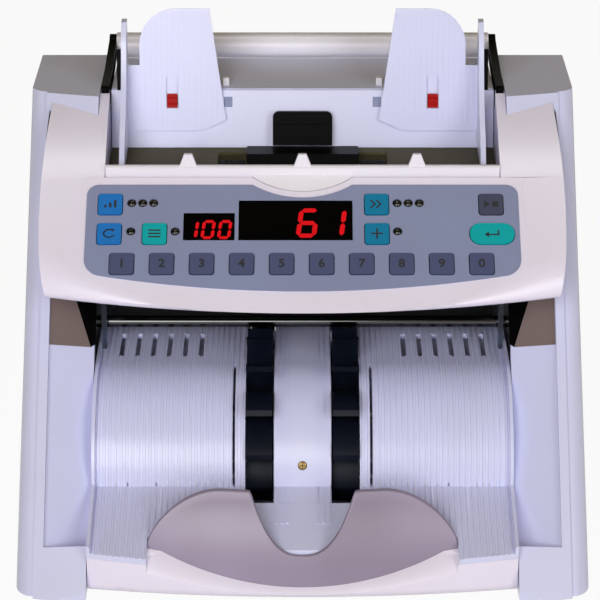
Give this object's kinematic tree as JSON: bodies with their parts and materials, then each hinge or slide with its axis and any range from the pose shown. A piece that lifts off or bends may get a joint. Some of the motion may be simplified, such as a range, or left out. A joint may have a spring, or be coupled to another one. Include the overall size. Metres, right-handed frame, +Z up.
{
  "type": "banknote_counter",
  "caption": "Desk-top banknote counter with a hopper, sliding note guides, key console, red displays, ribbed stacker pocket, paddle wheels and a folding carrying handle.",
  "frame": {"origin": "Middle of the footprint, at the underside of the rubber feet.", "axes": "X runs to the right across the width, Y from the front lip to the rear cover, Z up."},
  "size_m": [0.275, 0.25, 0.2437],
  "materials": {
    "casing_plastic": "smooth pale grey-lilac moulding",
    "lip_plastic": "white strip",
    "clear_strip": "clear plastic strip",
    "overlay_film": "grey printed film",
    "display_window": "black window with red digits",
    "black_plastic": "black moulding",
    "dark_floor": "dark hopper floor",
    "foot_rubber": "dark rubber",
    "paddle_rubber": "blue-black rubber",
    "shaft_steel": "ground shaft",
    "frame_steel": "plated sheet",
    "circuit_board": "solder-resist green",
    "number_key": "grey key",
    "blue_key": "blue key",
    "teal_key": "teal-blue key",
    "green_key": "green-blue key",
    "red_lock": "red slide"
  },
  "bodies": {
    "casing": {"base_pan": "casing_plastic", "rubber_feet": "foot_rubber", "left_side_cover": "casing_plastic", "right_side_cover": "casing_plastic", "rear_cover": "casing_plastic", "top_cover": "casing_plastic", "back_plate": "casing_plastic", "note_sensor": "black_plastic", "hopper_lip": "lip_plastic", "hopper_floor": "dark_floor", "separator_block": "black_plastic", "front_console": "casing_plastic", "key_overlay": "overlay_film", "count_display": "display_window", "batch_display": "display_window", "indicator_lamps": "black_plastic", "control_board": "circuit_board", "note_strips": "clear_strip", "left_frame": "frame_steel", "right_frame": "frame_steel", "stacker_tray": "casing_plastic", "centre_plate": "casing_plastic", "front_stop": "casing_plastic", "drive_motor": "frame_steel", "main_board": "circuit_board", "drive_belt": "foot_rubber", "feed_belt": "foot_rubber", "power_inlet": "black_plastic", "guide_rail": "shaft_steel"},
    "left_guide": {"left_guide": "casing_plastic"},
    "right_guide": {"right_guide": "casing_plastic"},
    "left_guide_lock": {"left_guide_lock": "red_lock"},
    "right_guide_lock": {"right_guide_lock": "red_lock"},
    "handle": {"handle_grip": "casing_plastic", "handle_arms": "black_plastic"},
    "feed": {"feed_shaft": "shaft_steel", "feed_rollers": "foot_rubber"},
    "exit": {"exit_shaft": "shaft_steel"},
    "stacker": {"stacker_shaft": "shaft_steel", "left_stacker_wheel": "paddle_rubber", "right_stacker_wheel": "paddle_rubber"},
    "motor_rotor": {"motor_pulley": "black_plastic"},
    "power_switch": {"power_switch": "black_plastic"},
    "key_1": {"key_1": "number_key"},
    "key_2": {"key_2": "number_key"},
    "key_3": {"key_3": "number_key"},
    "key_4": {"key_4": "number_key"},
    "key_5": {"key_5": "number_key"},
    "key_6": {"key_6": "number_key"},
    "key_7": {"key_7": "number_key"},
    "key_8": {"key_8": "number_key"},
    "key_9": {"key_9": "number_key"},
    "key_0": {"key_0": "number_key"},
    "key_level": {"key_level": "blue_key"},
    "key_auto": {"key_auto": "blue_key"},
    "key_batch": {"key_batch": "green_key"},
    "key_speed": {"key_speed": "teal_key"},
    "key_add": {"key_add": "teal_key"},
    "key_start_stop": {"key_start_stop": "number_key"},
    "key_reset": {"key_reset": "green_key"}
  },
  "joints": [
    {"name": "left_guide_slide", "type": "slide", "parent": "casing", "child": "left_guide", "axis": [1, 0, 0], "range_m": [0, 0.02]},
    {"name": "right_guide_slide", "type": "slide", "parent": "casing", "child": "right_guide", "axis": [-1, 0, 0], "range_m": [0, 0.02]},
    {"name": "left_lock_slide", "type": "slide", "parent": "left_guide", "child": "left_guide_lock", "axis": [0, 0.2419, 0.9703], "range_m": [0, 0.008]},
    {"name": "right_lock_slide", "type": "slide", "parent": "right_guide", "child": "right_guide_lock", "axis": [0, 0.2419, 0.9703], "range_m": [0, 0.008]},
    {"name": "handle_lift", "type": "hinge", "parent": "casing", "child": "handle", "pos_m": [0, 0.0455, 0.2], "axis": [1, 0, 0], "range_deg": [0, 80]},
    {"name": "stacker_spin", "type": "hinge", "parent": "casing", "child": "stacker", "pos_m": [0, -0.031, 0.058], "axis": [1, 0, 0], "continuous": true},
    {"name": "feed_spin", "type": "hinge", "parent": "casing", "child": "feed", "pos_m": [0, 0.02, 0.1636], "axis": [1, 0, 0], "continuous": true},
    {"name": "exit_spin", "type": "hinge", "parent": "casing", "child": "exit", "pos_m": [0, 0.001, 0.0947], "axis": [1, 0, 0], "continuous": true},
    {"name": "motor_spin", "type": "hinge", "parent": "casing", "child": "motor_rotor", "pos_m": [0, 0.079, 0.036], "axis": [1, 0, 0], "continuous": true},
    {"name": "power_rock", "type": "hinge", "parent": "casing", "child": "power_switch", "pos_m": [-0.022, 0.122, 0.038], "axis": [1, 0, 0], "range_deg": [0, 16]},
    {"name": "key_1_press", "type": "slide", "parent": "casing", "child": "key_1", "axis": [0, 0.6018, -0.7986], "range_m": [0, 0.0008], "stiffness_N_per_m": 500},
    {"name": "key_2_press", "type": "slide", "parent": "casing", "child": "key_2", "axis": [0, 0.6018, -0.7986], "range_m": [0, 0.0008], "stiffness_N_per_m": 500},
    {"name": "key_3_press", "type": "slide", "parent": "casing", "child": "key_3", "axis": [0, 0.6018, -0.7986], "range_m": [0, 0.0008], "stiffness_N_per_m": 500},
    {"name": "key_4_press", "type": "slide", "parent": "casing", "child": "key_4", "axis": [0, 0.6018, -0.7986], "range_m": [0, 0.0008], "stiffness_N_per_m": 500},
    {"name": "key_5_press", "type": "slide", "parent": "casing", "child": "key_5", "axis": [0, 0.6018, -0.7986], "range_m": [0, 0.0008], "stiffness_N_per_m": 500},
    {"name": "key_6_press", "type": "slide", "parent": "casing", "child": "key_6", "axis": [0, 0.6018, -0.7986], "range_m": [0, 0.0008], "stiffness_N_per_m": 500},
    {"name": "key_7_press", "type": "slide", "parent": "casing", "child": "key_7", "axis": [0, 0.6018, -0.7986], "range_m": [0, 0.0008], "stiffness_N_per_m": 500},
    {"name": "key_8_press", "type": "slide", "parent": "casing", "child": "key_8", "axis": [0, 0.6018, -0.7986], "range_m": [0, 0.0008], "stiffness_N_per_m": 500},
    {"name": "key_9_press", "type": "slide", "parent": "casing", "child": "key_9", "axis": [0, 0.6018, -0.7986], "range_m": [0, 0.0008], "stiffness_N_per_m": 500},
    {"name": "key_0_press", "type": "slide", "parent": "casing", "child": "key_0", "axis": [0, 0.6018, -0.7986], "range_m": [0, 0.0008], "stiffness_N_per_m": 500},
    {"name": "key_level_press", "type": "slide", "parent": "casing", "child": "key_level", "axis": [0, 0.6018, -0.7986], "range_m": [0, 0.0008], "stiffness_N_per_m": 500},
    {"name": "key_auto_press", "type": "slide", "parent": "casing", "child": "key_auto", "axis": [0, 0.6018, -0.7986], "range_m": [0, 0.0008], "stiffness_N_per_m": 500},
    {"name": "key_batch_press", "type": "slide", "parent": "casing", "child": "key_batch", "axis": [0, 0.6018, -0.7986], "range_m": [0, 0.0008], "stiffness_N_per_m": 500},
    {"name": "key_speed_press", "type": "slide", "parent": "casing", "child": "key_speed", "axis": [0, 0.6018, -0.7986], "range_m": [0, 0.0008], "stiffness_N_per_m": 500},
    {"name": "key_add_press", "type": "slide", "parent": "casing", "child": "key_add", "axis": [0, 0.6018, -0.7986], "range_m": [0, 0.0008], "stiffness_N_per_m": 500},
    {"name": "key_start_stop_press", "type": "slide", "parent": "casing", "child": "key_start_stop", "axis": [0, 0.6018, -0.7986], "range_m": [0, 0.0008], "stiffness_N_per_m": 500},
    {"name": "key_reset_press", "type": "slide", "parent": "casing", "child": "key_reset", "axis": [0, 0.6018, -0.7986], "range_m": [0, 0.0008], "stiffness_N_per_m": 500}
  ],
  "couplings": [
    {"joint": "right_guide_slide", "follows": "left_guide_slide", "ratio": 1},
    {"joint": "motor_spin", "follows": "stacker_spin", "ratio": 1.9},
    {"joint": "feed_spin", "follows": "stacker_spin", "ratio": 1},
    {"joint": "exit_spin", "follows": "stacker_spin", "ratio": -0.9901}
  ]
}
